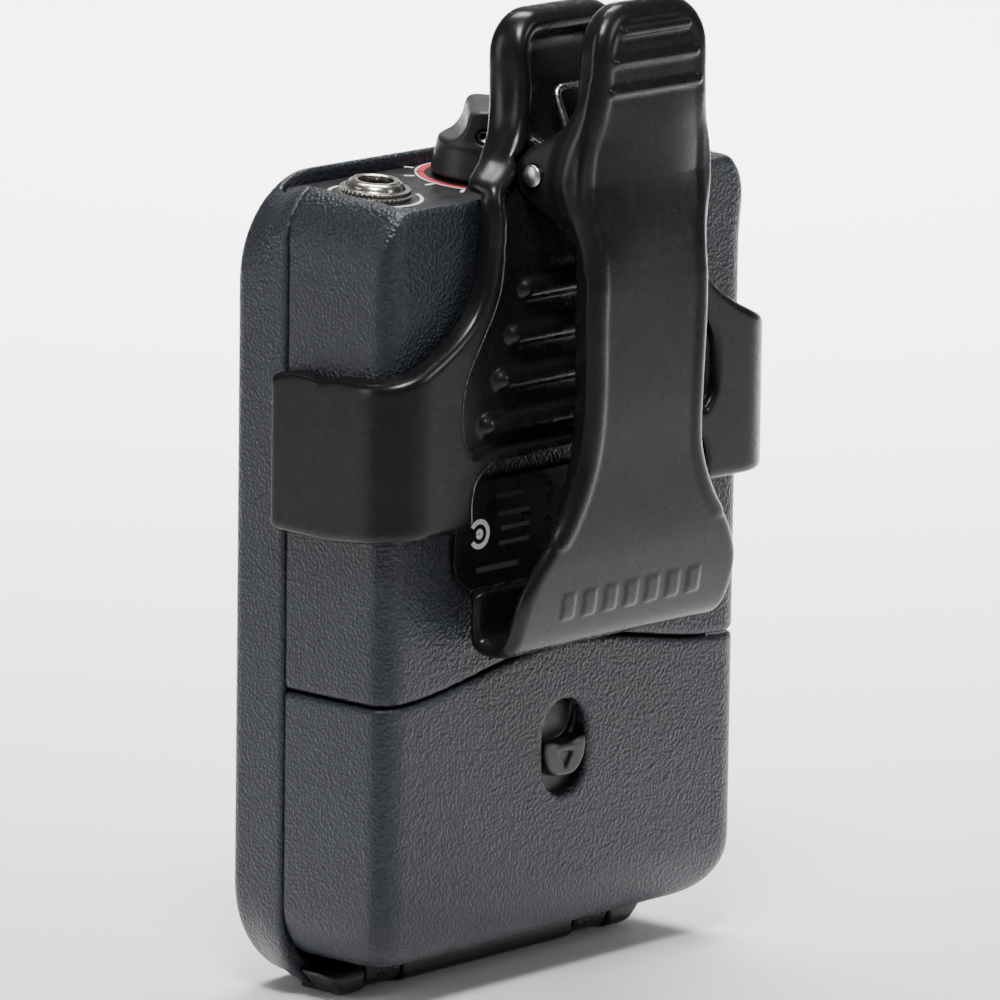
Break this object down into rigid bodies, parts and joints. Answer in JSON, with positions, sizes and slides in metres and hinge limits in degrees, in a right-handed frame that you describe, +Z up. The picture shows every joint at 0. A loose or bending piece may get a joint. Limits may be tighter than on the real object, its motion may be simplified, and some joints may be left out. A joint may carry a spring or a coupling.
{
  "type": "wireless bodypack transmitter",
  "caption": "Pocket-size bodypack radio transmitter with a top jack and level knob, hinged battery door and a sprung belt clip held by a wrap-round bracket.",
  "frame": {"origin": "middle of the case's width and depth, at the height of the flat base it stands on", "axes": "+Z up, +Y out of the back where the belt clip is, +X to the jack's side"},
  "size_m": [0.0666, 0.0372, 0.1165],
  "materials": {
    "case_plastic": "fine leather-like moulded texture",
    "black_plastic": "smooth moulded",
    "panel_plastic": "smooth with printed marks",
    "label_film": "printed film",
    "cell_jacket": "shrunk film",
    "spring_steel": "drawn wire",
    "pin_steel": "turned",
    "tinned_steel": "tin plate",
    "board": "solder mask",
    "chip_epoxy": "moulded epoxy",
    "copper": "enamelled wire",
    "clear_window": "clear acrylic",
    "display_glass": "reflective display",
    "key_rubber": "moulded rubber",
    "nickel": "bright nickel plate",
    "knob_plastic": "spark-textured",
    "led_lens": "tinted epoxy",
    "clip_plastic": "moulded nylon, semi-gloss"
  },
  "bodies": {
    "chassis": {"front_shell": "case_plastic", "rear_shell": "case_plastic", "base_strip": "black_plastic", "top_panel": "panel_plastic", "rear_label": "label_film", "battery_tray": "black_plastic", "upper_cell": "cell_jacket", "lower_cell": "cell_jacket", "contact_springs": "spring_steel", "contact_plates": "spring_steel", "door_pins": "pin_steel", "main_board": "board", "rf_shield": "tinned_steel", "board_parts": "chip_epoxy", "crystal": "tinned_steel", "aerial_coil": "copper", "display_window": "clear_window", "display_module": "display_glass", "key_switches": "tinned_steel", "jack_body": "black_plastic", "jack_nut": "nickel", "level_pot": "tinned_steel", "pot_nut": "nickel", "status_led": "led_lens", "case_screws": "pin_steel", "tray_screws": "pin_steel", "clip_bracket": "clip_plastic", "clip_pin": "pin_steel", "clip_spring": "spring_steel"},
    "door": {"battery_door": "case_plastic", "latch_spring": "spring_steel"},
    "latch": {"door_latch": "black_plastic"},
    "knob": {"level_knob": "knob_plastic", "knob_screw": "pin_steel", "pot_shaft": "pin_steel"},
    "lever": {"clip_lever": "clip_plastic"},
    "key_up": {"up_key": "key_rubber"},
    "key_down": {"down_key": "key_rubber"}
  },
  "joints": [
    {"name": "door_hinge", "type": "hinge", "parent": "chassis", "child": "door", "pos_m": [0, -0.0014, 0.0019], "axis": [-1, 0, 0], "range_deg": [0, 95]},
    {"name": "latch_slide", "type": "slide", "parent": "door", "child": "latch", "axis": [0, 0, -1], "range_m": [0, 0.002], "stiffness_N_per_m": 300, "springref_m": -0.001, "deforming": ["latch_spring"]},
    {"name": "knob_turn", "type": "hinge", "parent": "chassis", "child": "knob", "pos_m": [0, -0.0032, 0.09288], "axis": [0, 0.0872, 0.9962], "range_deg": [-150, 150]},
    {"name": "clip_hinge", "type": "hinge", "parent": "chassis", "child": "lever", "pos_m": [0, 0.0156, 0.0966], "axis": [1, 0, 0], "range_deg": [0, 20], "stiffness_Nm_per_rad": 0.3, "springref_deg": -20.05, "deforming": ["clip_spring"]},
    {"name": "key_up_press", "type": "slide", "parent": "chassis", "child": "key_up", "axis": [0, 1, 0], "range_m": [0, 0.0004], "stiffness_N_per_m": 500, "springref_m": -0.0005},
    {"name": "key_down_press", "type": "slide", "parent": "chassis", "child": "key_down", "axis": [0, 1, 0], "range_m": [0, 0.0004], "stiffness_N_per_m": 500, "springref_m": -0.0005}
  ]
}
